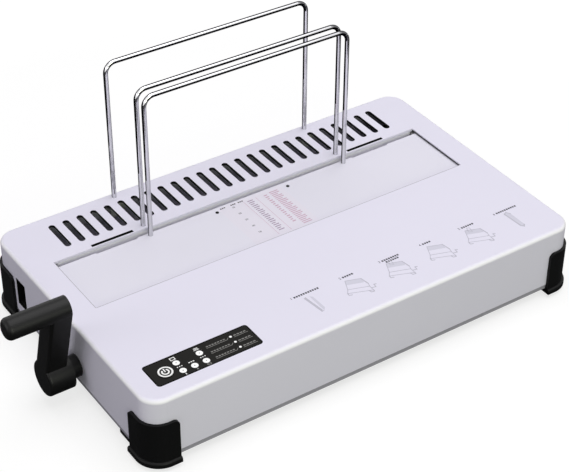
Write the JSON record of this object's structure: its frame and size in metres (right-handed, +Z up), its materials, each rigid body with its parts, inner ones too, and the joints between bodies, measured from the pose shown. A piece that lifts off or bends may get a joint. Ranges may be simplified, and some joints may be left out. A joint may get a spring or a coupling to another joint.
{
  "type": "thermal binding machine",
  "caption": "Flat desktop thermal binder: white case with a crank-opened trough over a heating plate, wire racks that hold the book upright, vented deck, control panel and black corner guards.",
  "frame": {"origin": "on the desk plane, under the centre of the bounding box, crank included", "axes": "+X along the trough to the right, +Y to the rear, +Z up"},
  "size_m": [0.5028, 0.2736, 0.2075],
  "materials": {
    "shell_white": "moulded, fine satin texture",
    "tray_grey": "painted sheet steel, satin",
    "guard_black": "moulded, fine matt grain",
    "foot_rubber": "moulded, matt",
    "wire_chrome": "bright plated wire",
    "socket_black": "moulded, matt",
    "plate_white": "powder coat, satin",
    "jaw_steel": "grey powder coat, satin",
    "heater_alloy": "milled, fine grain",
    "mica": "pressed sheet, matt",
    "zinc_steel": "bright zinc",
    "dark_steel": "black oxide",
    "bronze": "sintered bronze",
    "rail_acetal": "self-lubricating plastic, matt",
    "panel_black": "printed film, low gloss",
    "button_white": "moulded, glossy",
    "lamp_clear": "translucent light guide",
    "board_green": "coated circuit board",
    "relay_black": "moulded case",
    "contact_brass": "plated blade"
  },
  "bodies": {
    "base": {"base_tray": "tray_grey", "board_screws": "zinc_steel", "board_standoffs": "bronze", "bracket_screws": "zinc_steel", "bush_nut": "zinc_steel", "button_switch": "relay_black", "case_screws": "dark_steel", "control_board": "board_green", "control_panel": "panel_black", "corner_guard_front_left": "guard_black", "corner_guard_front_right": "guard_black", "corner_guard_rear_left": "guard_black", "corner_guard_rear_right": "guard_black", "crank_bush": "guard_black", "deck_rack_sockets": "socket_black", "fixed_jaw": "jaw_steel", "foot_pads": "foot_rubber", "heater_element": "mica", "heater_pillars": "zinc_steel", "heater_screws": "zinc_steel", "heating_plate": "heater_alloy", "indicator_lamps": "lamp_clear", "inlet_blades": "contact_brass", "jaw_screws": "zinc_steel", "left_bearing_bracket": "zinc_steel", "left_guide_rail": "rail_acetal", "middle_wire_rack": "wire_chrome", "power_inlet": "guard_black", "power_relay": "relay_black", "rear_wire_rack": "wire_chrome", "right_bearing_bracket": "zinc_steel", "right_guide_rail": "rail_acetal", "shaft_bearings": "bronze", "thermostat": "relay_black", "top_shell": "shell_white"},
    "jaw": {"sliding_plate": "plate_white", "front_wire_rack": "wire_chrome", "front_rack_sockets": "socket_black", "left_rack_bar": "zinc_steel", "right_rack_bar": "zinc_steel"},
    "crank": {"crank_handle": "guard_black", "crank_set_screw": "dark_steel", "drive_shaft": "zinc_steel", "left_pinion": "zinc_steel", "right_pinion": "zinc_steel", "shaft_clips": "dark_steel"},
    "button": {"power_button": "button_white"}
  },
  "joints": [
    {"name": "jaw_slide", "type": "slide", "parent": "base", "child": "jaw", "axis": [0, -1, 0], "range_m": [0, 0.045]},
    {"name": "crank_turn", "type": "hinge", "parent": "base", "child": "crank", "pos_m": [0, -0.0133, 0.0277], "axis": [1, 0, 0], "range_deg": [0, 322.4]},
    {"name": "power_press", "type": "slide", "parent": "base", "child": "button", "axis": [0, 0, -1], "range_m": [0, 0.001], "stiffness_N_per_m": 400, "springref_m": -0.0005}
  ],
  "couplings": [
    {"joint": "crank_turn", "follows": "jaw_slide", "rad_per_m": 125}
  ]
}
